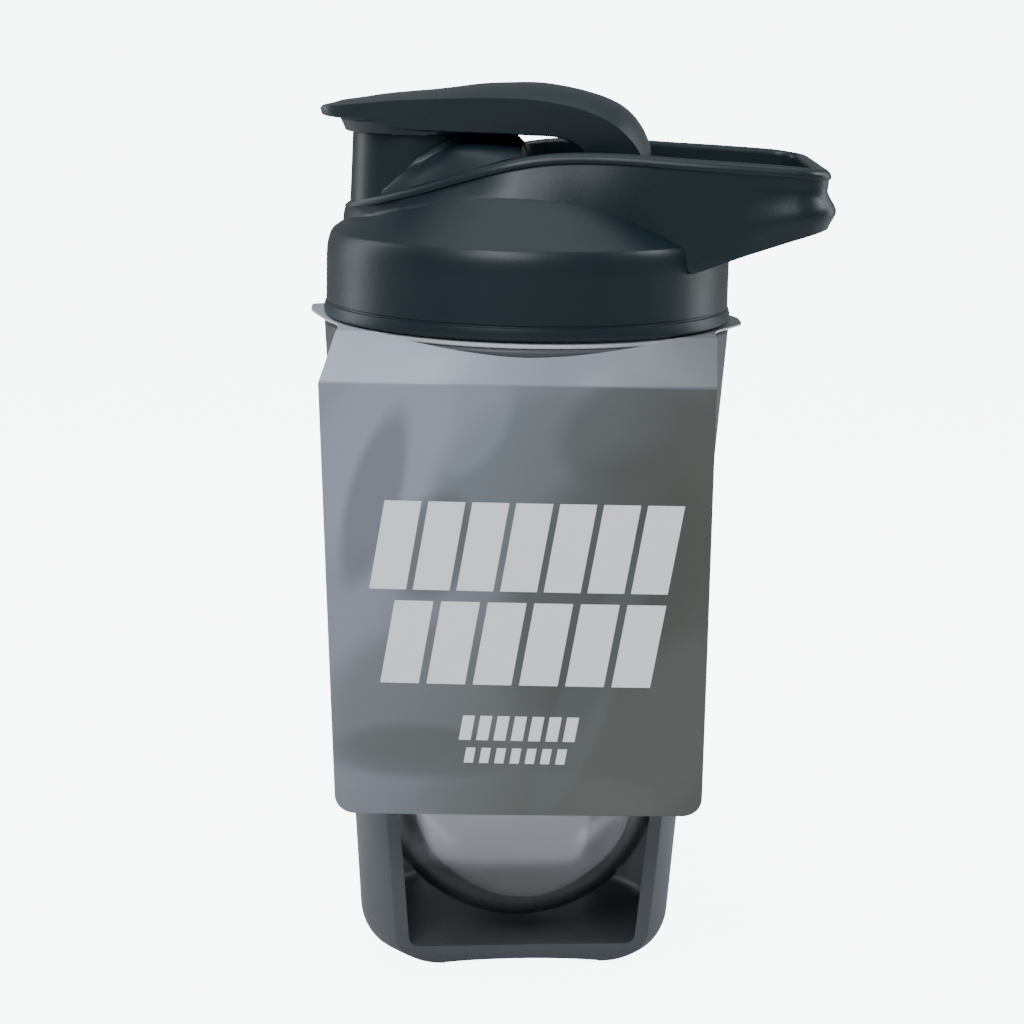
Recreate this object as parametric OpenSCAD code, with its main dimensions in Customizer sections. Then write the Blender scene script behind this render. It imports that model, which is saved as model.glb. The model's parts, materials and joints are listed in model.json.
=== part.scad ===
// Screw-lid shaker bottle: clear cup standing in an open cage, lid with a carry loop and a flip cap,
// and the printed card sleeve that it is sold in. Millimetres, +Z up, spout towards -X.

/* [Lid] */
// Radius of the lid's skirt
lid_r = 46; // [44:0.5:48]
// Wall thickness of the lid's moulding
lid_wall = 2.4; // [2:0.1:2.8]
// Distance from the lid's axis to the end of the carry loop
loop_end_x = 67.6; // [62:0.1:72]
// Half width of the carry loop
loop_half_w = 29; // [27:0.5:29.5]
// Thickness of the carry loop's walls
loop_wall = 3; // [2.4:0.1:3.6]
// Distance of the spout from the lid's axis
spout_x = 26.9; // [25.9:0.1:27.4]
// Outer radius of the spout
spout_r = 13.4; // [12.8:0.1:13.6]
// Radius of the spout's bore
spout_bore_r = 10.8; // [10:0.1:11]

/* [Flip cap] */
// Half width of the cap's arm
arm_half_w = 14; // [12:0.5:14]
// Distance of the hinge from the lid's axis
hinge_x = 20; // [19:0.5:21]
// Height of the hinge
hinge_z = 182; // [181.5:0.5:182.5]
// Radius of the hinge pin
pin_r = 1.6; // [1.4:0.1:1.8]
// Radial running clearance of the hinge pin
pin_gap = 0.06; // [0.03:0.01:0.08]

/* [Cup] */
// Outer radius of the cup's round bottom
dome_r = 34; // [33:0.5:34.5]
// Height of the cup's lowest point
dome_low = 7.2; // [6.5:0.1:8]
// Wall thickness of the cup
cup_wall = 2; // [1.6:0.1:2.4]
// Outer radius of the cup's neck
neck_r = 41.6; // [41:0.1:42]
// Radius of the cup's flange
flange_r = 45.6; // [45:0.1:45.8]

/* [Cage] */
// Outer radius of the cage's wall where it would meet the table
cage_low_r = 36.3; // [35.5:0.1:37]
// Growth of the cage's radius for each millimetre of height
cage_taper = 0.0675; // [0.065:0.0005:0.07]
// Wall thickness of the cage
cage_wall = 2.4; // [2:0.1:2.6]
// Distance of the front window's plane from the axis
window_y = 22; // [20:0.5:24]
// Distance of the back window's plane from the axis
window_back_y = 27; // [24:0.5:28]
// Turn of the cage round the axis
cage_turn = 5.5; // [-10:0.5:10]

/* [Card] */
// Thickness of the card
card_t = 0.4; // [0.35:0.05:0.4]
// Width of the card's panels at the fold
card_w = 85; // [82:0.5:86]
// Height of the panels' lower edge
card_low = 45.7; // [40:0.1:60]
// Distance from the axis to the card's side tips
card_tip_x = 49.4; // [48:0.1:50]

/* [Hidden] */
$fn = 96;
far = 200;

// heights of the stack at the neck, from the cage's ring up to the lid
cage_top = 149.25;
flange_z = 149.3;
flange_top = 150.5;
card_z = 150.55;
lid_low = 151;
neck_top = 164;
grid_z = 164.05;
grid_top = 164.95;
seal_z = 165.05;
seal_top = 166.95;
seat_z = 167;
shoulder_z = 169.8;
deck_z = 172.5;
lip_out = 0.45;
crease_r = 44.5;
crown_z = 180;
crown_r = 30.5;

// carry loop in plan: a superellipse round the spout, then straight walls and a rounded end
loop_nose = 42;
loop_straight_x = -2;
loop_power = 1.6;
loop_corner_r = 9;

// flip cap
spout_top = 193;
spout_back_top = 191.9;
spout_back_w = 6.5;
arm_top = 203.7;
arm_wall = 2.2;
cap_ring_r = 15.5;
cap_ring_z = 192;
cap_plate_z = 195.2;
tab_x = -47.6;
tab_r = 4;
tab_half_w = 7.5;
knuckle_r = 5;
ear_w = 3;
pin_out = 0.5;
ear_gap = 0.4;
ear_y = arm_half_w + ear_gap;

// cage: its underside is a shallow vault with a small ring at its middle
foot_round = 8;
inner_round = 2.2;
floor_top = 5.4;
vault_h = 2.8;
vault_r = 14;
gate_ring_r = 8.2;
gate_ring_w = 2.4;
window_top = 126;
window_round = 9;

// cup
dome_c = dome_low + dome_r;
dome_inner_r = dome_r - cup_wall;
dome_inner_c = dome_c + 1.4;
cup_top_r = 42.4;
neck_in_r = neck_r - 2.2;

// card
card_fold_z = 141.8;
card_fold_y = 47.5;
card_low_y = 46.4;
card_low_w = 81;
card_round = 4;
card_hole_r = 42.8;
card_ring_y = 34;
card_side = 41.5;
card_lip_r = 47;
card_lip_z = 147.7;

// points of an arc about c with radius r, from angle a to angle b
function arc(c, r, a, b, n = 12) =
    [for (i = [0 : n]) let (t = a + (b - a) * i / n) c + r * [cos(t), sin(t)]];

function cage_r(z) = cage_low_r + cage_taper * z;

module ring(r_out, r_in, z0, z1) {
    difference() {
        translate([0, 0, z0]) cylinder(r = r_out, h = z1 - z0);
        translate([0, 0, z0 - 1]) cylinder(r = r_in, h = z1 - z0 + 2);
    }
}

// a plate drawn in X and Z, as thick along Y as from -half_w to half_w
module side_plate(points, half_w) {
    rotate([90, 0, 0])
        translate([0, 0, -half_w])
            linear_extrude(height = 2 * half_w) polygon(points);
}

// ---- cage ----
module cage_shell() {
    rotate_extrude()
        polygon(concat(
            [[0, vault_h], [gate_ring_r - gate_ring_w - 0.8, vault_h], [gate_ring_r - gate_ring_w, 0],
             [gate_ring_r, 0], [gate_ring_r + 0.8, vault_h], [vault_r, vault_h], [22, 1.7], [26.8, 0.45]],
            arc([cage_r(foot_round) - foot_round, foot_round], foot_round, -90, -4, 10),
            [[cage_r(cage_top), cage_top], [cage_r(cage_top) - cage_wall, cage_top]],
            arc([cage_r(floor_top + inner_round) - cage_wall - inner_round, floor_top + inner_round],
                inner_round, -4, -90, 5),
            [[0, floor_top]]));
}

module cage() {
    color("#39444c")
        rotate([0, 0, cage_turn])
            difference() {
                cage_shell();
                window_cut(window_back_y);
                rotate([0, 0, 180]) window_cut(window_y);
            }
}

// the flat side of the cage: a vertical plane slices the shell, from the foot up to the window's top
module window_cut(plane_y) {
    w = cage_low_r + 14;
    translate([0, far + plane_y, 0])
        rotate([90, 0, 0])
            linear_extrude(height = far)
                polygon(concat(
                    [[-w, -1], [w, -1]],
                    arc([w - window_round, window_top - window_round], window_round, 0, 90, 6),
                    arc([window_round - w, window_top - window_round], window_round, 90, 180, 6)));
}

// ---- cup ----
module cup() {
    lean = atan((cup_top_r - dome_r) / (flange_z - 1 - dome_c));
    color("#d5dbe2", 0.35)
        rotate_extrude()
            polygon(concat(
                arc([0, dome_c], dome_r, -90, -lean, 20),
                [[cup_top_r, flange_z - 1], [cup_top_r, flange_z], [flange_r, flange_z],
                 [flange_r, flange_top], [neck_r, flange_top], [neck_r, neck_top - 0.6],
                 [neck_r - 0.6, neck_top], [neck_in_r, neck_top], [neck_in_r, flange_z - 2]],
                arc([0, dome_inner_c], dome_inner_r, -lean, -90, 20)));
}

// ---- card sleeve ----
module card_ring() {
    side = card_side;
    difference() {
        translate([0, 0, card_z])
            linear_extrude(height = card_t)
                polygon([[-side, -card_ring_y], [side, -card_ring_y], [side + 0.6, -20],
                         [card_tip_x, -7], [card_tip_x, 7], [side + 0.6, 20], [side, card_ring_y],
                         [-side, card_ring_y], [-side - 0.6, 20], [-card_tip_x, 7],
                         [-card_tip_x, -7], [-side - 0.6, -20]]);
        translate([0, 0, card_z - 1]) cylinder(r = card_hole_r, h = card_t + 2);
    }
}

// upper edge of the sloped section: straight at the corners, and between them it hugs the cage's ring
function slope_top(x) =
    let (corner = sqrt(pow(card_lip_r, 2) - pow(card_ring_y, 2)), u = min(1, abs(x) / corner))
    [x, -max(card_ring_y - 0.5, sqrt(max(0, pow(card_lip_r, 2) - x * x))),
     card_lip_z + (card_z - card_lip_z) * pow(u, 1.5)];

module card_slope() {
    n = 20;
    us = [for (i = [0 : n]) 2 * i / n - 1];
    top = [for (u = us) slope_top(u * card_side)];
    low = [for (u = us) [u * card_w / 2, -card_fold_y, card_fold_z]];
    out = [0, -0.75, 0.6] * card_t;
    points = concat(top, low, [for (p = low) p + out], [for (p = top) p + out]);
    m = n + 1;
    polyhedron(
        points = points,
        faces = concat(
            [for (k = [0 : 3], i = [0 : n - 1])
                [k * m + i, ((k + 1) % 4) * m + i, ((k + 1) % 4) * m + i + 1, k * m + i + 1]],
            [[3 * m, 2 * m, m, 0], [n, m + n, 2 * m + n, 3 * m + n]]));
}

module card_panel() {
    half = card_w / 2;
    low = card_low_w / 2;
    tall = card_fold_z - card_low;
    lean = atan((card_fold_y - card_low_y) / tall);
    translate([0, -card_fold_y, card_fold_z])
        rotate([90 + lean, 0, 0])
            linear_extrude(height = card_t)
                polygon(concat(
                    [[-half, 0.15]],
                    arc([card_round - low, card_round - tall], card_round, 180, 270, 5),
                    arc([low - card_round, card_round - tall], card_round, 270, 360, 5),
                    [[half, 0.15]]));
}

module card_sleeve() {
    color("#7c8284") {
        card_ring();
        for (a = [0, 180])
            rotate([0, 0, a]) {
                card_slope();
                card_panel();
            }
    }
}

// ---- mixing grid ----
module mixing_grid() {
    hole = 6.4;
    step = 8;
    reach = 35;
    skirt_h = 8;
    plate_t = 1.6;
    color("#39444c")
        difference() {
            union() {
                ring(neck_r - 0.4, neck_in_r - 2.2, grid_z, grid_top);
                ring(neck_in_r - 0.4, neck_in_r - 2.2, grid_z - skirt_h, grid_top);
                translate([0, 0, grid_z - skirt_h]) cylinder(r = neck_in_r - 1, h = plate_t);
            }
            for (i = [-4 : 4], j = [-4 : 4])
                if (norm([abs(i) + 0.45, abs(j) + 0.45]) * step < reach)
                    translate([i * step - hole / 2, j * step - hole / 2, grid_z - skirt_h - 1])
                        cube([hole, hole, plate_t + 2]);
        }
}

// ---- seal ring in the lid ----
module lid_seal() {
    color("#b9bec4") ring(lid_r - lid_wall - 0.3, neck_in_r, seal_z, seal_top);
}

// ---- lid ----
// half outline of the carry loop in plan: a nose that wraps the spout, straight walls, a rounded end
function loop_side(inset) =
    let (w = loop_half_w - inset, nose = loop_nose - inset, r = loop_corner_r - inset,
         end = loop_end_x - inset)
    concat(
        [for (i = [0 : 12]) let (u = cos(7.5 * i))
            [loop_straight_x - (nose + loop_straight_x) * u,
             w * pow(1 - pow(u, loop_power), 1 / loop_power)]],
        arc([end - r, w - r], r, 90, 0, 6));

module loop_plan(inset) {
    side = loop_side(inset);
    back = [for (i = [len(side) - 1 : -1 : 1]) [side[i][0], -side[i][1]]];
    polygon(concat(side, back));
}

// side view of the loop: its rim line over its lower edge
loop_view = [
    [-43, 171], [-43, 174.4], [-39.5, 176.3], [-35, 178.1], [-30.5, 179.6], [-24, 181.9], [-18.5, 183.8],
    [-12, 185.9], [-6, 187.6], [0, 188.8], [5.5, 189.5], [15, 189.9], [37, 189.4], [50, 188.9], [68, 187.6],
    [68, 174.8], [62, 173.1], [58, 172], [47, 168.3], [36, 164.2], [34.2, 165.6], [30, 168], [-30, 168],
];

module loop_walls() {
    intersection() {
        translate([0, 0, 160])
            linear_extrude(height = 40)
                difference() {
                    loop_plan(0);
                    loop_plan(loop_wall);
                }
        side_plate(loop_view, loop_half_w + 1);
    }
}

module lid_shell() {
    rotate_extrude()
        polygon([
            [0, lid_low], [lid_r + lip_out, lid_low], [lid_r + lip_out * 0.8, lid_low + 1.6],
            [lid_r, lid_low + 2.6], [lid_r, shoulder_z - 4], [lid_r - 0.5, shoulder_z - 1.5],
            [crease_r, shoulder_z + 0.3], [crown_r, crown_z], [0, crown_z]]);
}

module lid_hollow() {
    in_r = lid_r - lid_wall;
    top = deck_z - lid_wall;
    rotate_extrude()
        polygon([
            [0, lid_low - 1], [in_r, lid_low - 1], [in_r, seat_z], [neck_in_r, seat_z],
            [neck_in_r, top - 0.6], [neck_in_r - 1, top], [0, top]]);
}

// the well between the loop's walls, right of the spout
module lid_well() {
    translate([0, 0, deck_z])
        linear_extrude(height = 30)
            intersection() {
                loop_plan(loop_wall);
                translate([-spout_x, -far / 2]) square([far, far]);
            }
}

// the spout's back: a wall that runs on from the round spout under the cap's arm
module spout_back() {
    intersection() {
        translate([0, 0, deck_z - 1])
            linear_extrude(height = 30)
                polygon([[-spout_x, -spout_r], [-spout_x, spout_r], [-15, 9], [2, spout_back_w],
                         [2, -spout_back_w], [-15, -9]]);
        side_plate([[-spout_x, deck_z - 1], [1.6, deck_z - 1], [1.4, 186], [0.4, 189.2], [-2.4, spout_back_top],
                    [-spout_x, spout_back_top]], spout_r);
    }
}

module ears() {
    for (s = [-1, 1])
        translate([0, s * (ear_y + ear_w / 2), 0])
            side_plate(concat(
                [[hinge_x - knuckle_r - 2, deck_z - 1], [hinge_x + knuckle_r + 2, deck_z - 1]],
                arc([hinge_x, hinge_z], knuckle_r, 0, 180, 10)), ear_w / 2);
}

module lid() {
    color("#39444c")
        difference() {
            union() {
                difference() {
                    lid_shell();
                    lid_well();
                }
                loop_walls();
                ears();
                translate([-spout_x, 0, deck_z - 1]) cylinder(r = spout_r, h = spout_top - deck_z + 1);
                spout_back();
            }
            lid_hollow();
            translate([-spout_x, 0, 160]) cylinder(r = spout_bore_r, h = 40);
            translate([hinge_x, 0, hinge_z])
                rotate([90, 0, 0]) cylinder(r = pin_r + pin_gap, h = 2 * (ear_y + ear_w) + 2, center = true);
        }
}

// ---- hinge pin ----
module hinge_pin() {
    color("#39444c")
        translate([hinge_x, 0, hinge_z])
            rotate([90, 0, 0]) cylinder(r = pin_r, h = 2 * (ear_y + ear_w + pin_out), center = true);
}

// ---- flip cap ----
// side view of the arm: over the top from the tab to the heel, and back under
arm_over = [
    [tab_x, 196.8], [-43, 198], [-39, 198.5], [-33.5, 199.6], [-24.6, 200.7], [-17.8, 201.5],
    [-12, 202.7], [-6.5, 203.4], [0.5, arm_top], [9.7, 202.4], [17.6, 200.6], [22.8, 197.3],
    [25.6, 193.3], [27.3, 188.9],
];
arm_view = concat(arm_over, arc([hinge_x, hinge_z], knuckle_r, 10, -190, 14),
    [[13.5, 187], [11.7, 189.2], [8, 191.6], [5, 192.3], [-29, 193], [-33, 195.2], [-44, 195.4]]);
hollow_view = [
    [-11, 190], [-11, 200], [0, 200.9], [9, 199.8], [15, 197.8], [19.2, 194.7], [19.2, 190.4],
    [10, 190],
];

module arm_plan() {
    // in plan: a rounded tab, swelling to the arm's full width over the spout
    w = arm_half_w;
    side = concat(
        [for (i = [0 : 6]) let (t = 15 * i) [tab_x + tab_r * (1 - cos(t)), tab_half_w * sin(t)]],
        [[-38.5, 11], [-34.5, 12.6], [-29, 13.8], [-24, w], [40, w]]);
    polygon(concat(side, [for (i = [len(side) - 1 : -1 : 1]) [side[i][0], -side[i][1]]]));
}

module flip_cap() {
    color("#39444c")
        difference() {
            union() {
                intersection() {
                    side_plate(arm_view, arm_half_w + 1);
                    translate([0, 0, 170]) linear_extrude(height = 40) arm_plan();
                }
                translate([-spout_x, 0, cap_ring_z]) cylinder(r = cap_ring_r, h = 5);
            }
            translate([-spout_x, 0, cap_ring_z - 2])
                cylinder(r = spout_r + 1, h = cap_plate_z - cap_ring_z + 2);
            side_plate(hollow_view, arm_half_w - arm_wall);
            translate([hinge_x, 0, hinge_z])
                rotate([90, 0, 0]) cylinder(r = pin_r + pin_gap, h = far / 2, center = true);
        }
}

// ---- soft plug in the flip cap ----
module spout_plug() {
    nose_r = spout_bore_r - 1.4;
    nose_low = 190.6;
    color("#b9bec4")
        translate([-spout_x, 0, 0]) {
            translate([0, 0, spout_top + 0.4])
                cylinder(r = spout_r - 0.4, h = cap_plate_z - spout_top - 0.4);
            translate([0, 0, nose_low]) cylinder(r = nose_r, h = cap_plate_z - nose_low);
        }
}

cage();
cup();
card_sleeve();
mixing_grid();
lid_seal();
lid();
hinge_pin();
flip_cap();
spout_plug();
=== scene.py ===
import json
import math
import bmesh
import bpy
from mathutils import Matrix, Vector


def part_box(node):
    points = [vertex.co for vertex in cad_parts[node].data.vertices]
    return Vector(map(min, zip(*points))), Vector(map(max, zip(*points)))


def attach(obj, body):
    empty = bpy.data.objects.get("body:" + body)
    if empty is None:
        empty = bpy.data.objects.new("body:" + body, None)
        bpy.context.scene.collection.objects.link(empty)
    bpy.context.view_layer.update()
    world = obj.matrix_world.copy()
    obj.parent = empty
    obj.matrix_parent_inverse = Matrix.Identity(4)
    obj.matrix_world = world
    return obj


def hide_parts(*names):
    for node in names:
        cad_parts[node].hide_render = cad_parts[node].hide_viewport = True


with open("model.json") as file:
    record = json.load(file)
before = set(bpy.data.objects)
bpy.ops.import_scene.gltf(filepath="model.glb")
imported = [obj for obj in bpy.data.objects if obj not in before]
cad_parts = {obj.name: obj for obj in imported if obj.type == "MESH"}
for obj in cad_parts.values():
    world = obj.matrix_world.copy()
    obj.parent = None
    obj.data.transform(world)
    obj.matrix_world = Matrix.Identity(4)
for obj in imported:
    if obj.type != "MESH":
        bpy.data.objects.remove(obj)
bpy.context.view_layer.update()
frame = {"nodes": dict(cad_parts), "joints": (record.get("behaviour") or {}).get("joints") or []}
print("frame loaded")

mm = 0.001
tau = 2 * math.pi
# lowest and highest corner of each node, in mm
low = {name: [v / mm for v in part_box(name)[0]] for name in frame["nodes"]}
high = {name: [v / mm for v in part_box(name)[1]] for name in frame["nodes"]}
joints = {joint["name"]: joint for joint in frame["joints"]}
hinge = [v / mm for v in joints["cap_flip"]["pos_m"]]


def deselect():
    bpy.ops.object.select_all(action="DESELECT")


def activate(piece):
    deselect()
    piece.select_set(True)
    bpy.context.view_layer.objects.active = piece


def editAll(piece):
    activate(piece)
    bpy.ops.object.mode_set(mode="EDIT")
    bpy.ops.mesh.select_all(action="SELECT")


def leaveEdit():
    bpy.ops.object.mode_set(mode="OBJECT")


def settle(piece):
    # place, turn and size go into the mesh
    activate(piece)
    bpy.ops.object.transform_apply(location=True, rotation=True, scale=True)


def shape(piece, points):
    # moves a primitive's vertices to a list of points in mm, in their own order
    for vertex, point in zip(piece.data.vertices, points):
        vertex.co = Vector(point) * mm
    piece.data.update()


def modify(piece, kind, **settings):
    activate(piece)
    name = kind.title()
    modifier = piece.modifiers.new(name, kind)
    for key, value in settings.items():
        setattr(modifier, key, value)
    bpy.ops.object.modifier_apply(modifier=name)


def tidyFaces(piece, gap=0.004):
    # closes seams and poles, and turns every face outwards
    editAll(piece)
    bpy.ops.mesh.remove_doubles(threshold=gap * mm)
    bpy.ops.mesh.dissolve_degenerate(threshold=gap * mm / 2)
    bpy.ops.mesh.normals_make_consistent(inside=False)
    leaveEdit()


def smooth(piece, degrees=32):
    activate(piece)
    bpy.ops.object.shade_smooth_by_angle(angle=math.radians(degrees), keep_sharp_edges=True)


def arc(cx, cz, r, start, end, count=10):
    # points of an arc in the plane of a turned outline, from one angle to another
    return [(cx + r * math.cos(math.radians(start + (end - start) * i / count)),
             cz + r * math.sin(math.radians(start + (end - start) * i / count)))
            for i in range(count + 1)]


def turned(name, outline, steps=128, centre=(0, 0)):
    # a closed outline of (radius, height) in mm, spun round a vertical axis
    deselect()
    bpy.ops.mesh.primitive_circle_add(vertices=len(outline), radius=1 * mm)
    piece = bpy.context.active_object
    piece.name = name
    shape(piece, [(r + centre[0], centre[1], z) for r, z in outline])
    editAll(piece)
    bpy.ops.mesh.spin(steps=steps, angle=tau, center=(centre[0] * mm, centre[1] * mm, 0), axis=(0, 0, 1))
    leaveEdit()
    tidyFaces(piece)
    return piece


def tube(name, rings, closedLoop=False):
    # a torus or a capped tube: rings of points in mm, each ring closed
    count, sides = len(rings), len(rings[0])
    deselect()
    bpy.ops.mesh.primitive_torus_add(major_segments=count, minor_segments=sides,
                                     major_radius=2 * mm, minor_radius=1 * mm)
    piece = bpy.context.active_object
    piece.name = name
    shape(piece, [point for ring in rings for point in ring])
    if not closedLoop:                                       # opens the torus between its last ring and its first
        piece.data.update()
        bm = bmesh.new()
        bm.from_mesh(piece.data)
        bm.verts.ensure_lookup_table()
        ends = [{bm.verts[k * sides + i] for i in range(sides)} for k in (0, count - 1)]
        span = [f for f in bm.faces if all(any(v in end for v in f.verts) for end in ends)]
        bmesh.ops.delete(bm, geom=span, context="FACES")
        bmesh.ops.holes_fill(bm, edges=[e for e in bm.edges if e.is_boundary], sides=0)
        bm.to_mesh(piece.data)
        bm.free()
    tidyFaces(piece)
    return piece


def sheetGrid(name, rows):
    # an open sheet: rows of points in mm
    count, across = len(rows), len(rows[0])
    deselect()
    bpy.ops.mesh.primitive_grid_add(x_subdivisions=across - 1, y_subdivisions=count - 1, size=1 * mm)
    piece = bpy.context.active_object
    piece.name = name
    shape(piece, [point for row in rows for point in row])
    return piece


def cut(piece, tool, operation="DIFFERENCE"):
    modify(piece, "BOOLEAN", object=tool, operation=operation, solver="EXACT")
    bpy.data.objects.remove(tool, do_unlink=True)


def prism(name, points, push):
    # a closed outline of points in mm, pushed along a direction into a solid
    deselect()
    bpy.ops.mesh.primitive_circle_add(vertices=len(points), radius=1 * mm)
    piece = bpy.context.active_object
    piece.name = name
    shape(piece, points)
    editAll(piece)
    bpy.ops.mesh.edge_face_add()
    bpy.ops.mesh.extrude_region_move(TRANSFORM_OT_translate={"value": Vector(push) * mm})
    leaveEdit()
    tidyFaces(piece)
    return piece


def rod(radius, length, centre, sides=96, lying=False):
    # an upright cylinder, or one that lies along y
    deselect()
    turn = (math.pi / 2, 0, 0) if lying else (0, 0, 0)
    bpy.ops.mesh.primitive_cylinder_add(vertices=sides, radius=radius * mm, depth=length * mm,
                                        rotation=turn, location=Vector(centre) * mm)
    return bpy.context.active_object


def softEdges(piece, width, segments, degrees):
    modify(piece, "BEVEL", width=width * mm, segments=segments, limit_method="ANGLE",
           angle_limit=math.radians(degrees))


def stands(piece, node, body):
    # the piece stands for part of a CAD node, and moves with a body
    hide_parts(node)
    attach(piece, body)


def along(table, x):
    # straight-line reading of a table of (x, value) pairs
    if x <= table[0][0]:
        return table[0][1]
    for (x0, v0), (x1, v1) in zip(table, table[1:]):
        if x <= x1:
            return v0 + (v1 - v0) * (x - x0) / (x1 - x0)
    return table[-1][1]


def curveThrough(table, x):
    # smooth reading of the same kind of table
    xs = [p[0] for p in table]
    vs = [p[1] for p in table]
    x = min(max(x, xs[0]), xs[-1])
    i = max(k for k in range(len(xs) - 1) if x >= xs[k] or k == 0)
    slopes = [(vs[k + 1] - vs[k]) / (xs[k + 1] - xs[k]) for k in range(len(xs) - 1)]
    tangent = [slopes[0]] + [(a + b) / 2 if a * b > 0 else 0 for a, b in zip(slopes, slopes[1:])] + [slopes[-1]]
    width = xs[i + 1] - xs[i]
    t = (x - xs[i]) / width
    return ((2 * t**3 - 3 * t**2 + 1) * vs[i] + (t**3 - 2 * t**2 + t) * width * tangent[i]
            + (3 * t**2 - 2 * t**3) * vs[i + 1] + (t**3 - t**2) * width * tangent[i + 1])


def ease(t):
    t = min(max(t, 0), 1)
    return t * t * (3 - 2 * t)


class Wire:
    # one socket of a material, with arithmetic

    def __init__(self, finish, socket):
        self.finish = finish
        self.socket = socket

    def maths(self, operation, first, second):
        return self.finish.node("ShaderNodeMath", {"operation": operation}, {0: first, 1: second})

    def __add__(self, other):
        return self.maths("ADD", self, other)

    __radd__ = __add__

    def __sub__(self, other):
        return self.maths("SUBTRACT", self, other)

    def __rsub__(self, other):
        return self.maths("SUBTRACT", other, self)

    def __mul__(self, other):
        return self.maths("MULTIPLY", self, other)

    __rmul__ = __mul__

    def __truediv__(self, other):
        return self.maths("DIVIDE", self, other)

    def __gt__(self, other):
        return self.maths("GREATER_THAN", self, other)

    def __lt__(self, other):
        return self.maths("LESS_THAN", self, other)


class Finish:
    # a material with one shader, and the maker of its nodes

    def __init__(self, name, **constants):
        self.material = bpy.data.materials.new(name)
        self.material.use_nodes = True
        self.tree = self.material.node_tree
        self.shader = self.tree.nodes["Principled BSDF"]
        for key, value in constants.items():
            self.shader.inputs[key.replace("_", " ")].default_value = value

    def node(self, kind, settings=None, inputs=None, out=0):
        made = self.tree.nodes.new(kind)
        for key, value in (settings or {}).items():
            setattr(made, key, value)
        for key, value in (inputs or {}).items():
            if isinstance(value, Wire):
                self.tree.links.new(value.socket, made.inputs[key])
            else:
                made.inputs[key].default_value = value
        return Wire(self, made.outputs[out])

    def feed(self, key, wire):
        self.tree.links.new(wire.socket, self.shader.inputs[key])

    def place(self):
        return self.node("ShaderNodeTexCoord", out="Object")

    def noise(self, scale, detail):
        return self.node("ShaderNodeTexNoise", None,
                         {"Vector": self.place(), "Scale": scale, "Detail": detail}, "Fac")

    def bump(self, height, strength, distance):
        self.feed("Normal", self.node("ShaderNodeBump", None,
                                      {"Height": height, "Strength": strength, "Distance": distance}))

    def blend(self, factor, first, second):
        return self.node("ShaderNodeMix", {"data_type": "RGBA"}, {0: factor, 6: first, 7: second}, out=2)


def dress(piece, *finishes):
    piece.data.materials.clear()
    for finish in finishes:
        piece.data.materials.append(finish.material)


slate = {"dark": (0.0055, 0.0140, 0.0185, 1), "pale": (0.008, 0.0185, 0.0245, 1), "rough": 0.34}
cageSlate = {"dark": (0.078, 0.086, 0.095, 1), "pale": (0.088, 0.097, 0.107, 1)}


def slatePlastic(name, rough=slate["rough"], grain=0.10, shade=slate, shine=0.38):
    # moulded plastic: a fine spark-eroded grain, a slow drift of tone, and faint rub marks
    finish = Finish(name, IOR=1.49, Specular_IOR_Level=shine)
    drift = finish.noise(35, 2)
    finish.feed("Base Color", finish.blend(drift, shade["dark"], shade["pale"]))
    grit = finish.noise(2600, 2)
    handled = finish.noise(90, 4)
    finish.feed("Roughness", rough + 0.10 * handled - 0.03 + 0.04 * grit)
    finish.bump(grit, grain, 0.0002)
    return finish


def clearPlastic(name):
    # slightly hazy inside, with a glossy skin; its grey tint is painted shade
    finish = Finish(name, IOR=1.5, Transmission_Weight=1.0, Coat_Weight=0.6, Coat_Roughness=0.03)
    # painted shade: the grey base colour darkens everything seen through the cup, in place of the shaded ground
    # behind it
    finish.feed("Base Color", finish.blend(finish.noise(20, 1), (0.65, 0.64, 0.66, 1), (0.71, 0.70, 0.72, 1)))
    finish.feed("Roughness", 0.09 + 0.05 * finish.noise(60, 4))
    return finish


def frostedPlastic(name):
    finish = Finish(name, IOR=1.5, Transmission_Weight=0.15)
    finish.feed("Base Color", finish.blend(finish.noise(80, 2), (0.90, 0.91, 0.94, 1), (0.96, 0.97, 0.99, 1)))
    finish.feed("Roughness", 0.30 + 0.1 * finish.noise(300, 2))
    return finish


def softRubber(name):
    finish = Finish(name, IOR=1.42)
    finish.feed("Base Color", finish.blend(finish.noise(60, 2), (0.40, 0.42, 0.45, 1), (0.47, 0.49, 0.52, 1)))
    finish.feed("Roughness", 0.55 + 0.1 * finish.noise(300, 2))
    finish.bump(finish.noise(1800, 2), 0.15, 0.0002)
    return finish


slateLid = slatePlastic("slateLid")
slateCap = slatePlastic("slateCap", 0.33, shine=0.52)
slateCage = slatePlastic("slateCage", 0.40, shade=cageSlate)
slateInner = slatePlastic("slateInner", 0.34)
clearCup = clearPlastic("clearCup")
frostedFlange = frostedPlastic("frostedFlange")
rubberRing = softRubber("rubberRing")
print("materials made")


cageSizes = {
    "lowRadius": 36.3, "taper": 0.0675, "wall": 2.4, "lip": 0.7, "edge": 0.4,
    "footRound": 9, "footReach": 8.4, "innerRound": 2.2, "floor": 5.4, "floorRise": 0.2,
    "underside": [(0, 2.8), (5, 2.8), (5.6, 2.3), (5.9, 0.2), (6.2, 0), (7.9, 0), (8.2, 0.2), (8.5, 2.3),
                  (9.1, 2.8), (14, 2.8), (18, 1.8), (22, 1.1), (24.2, 0.85), (26.6, 0.5), (28.4, 0.2)],
    "arch": {"lift": 1.3, "from": 9, "over": 13, "height": 6},
    "frontFlat": 22, "backFlat": 27, "windowTop": 126, "windowRound": 9, "turn": 5.5, "cutReach": 60,
}


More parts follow.
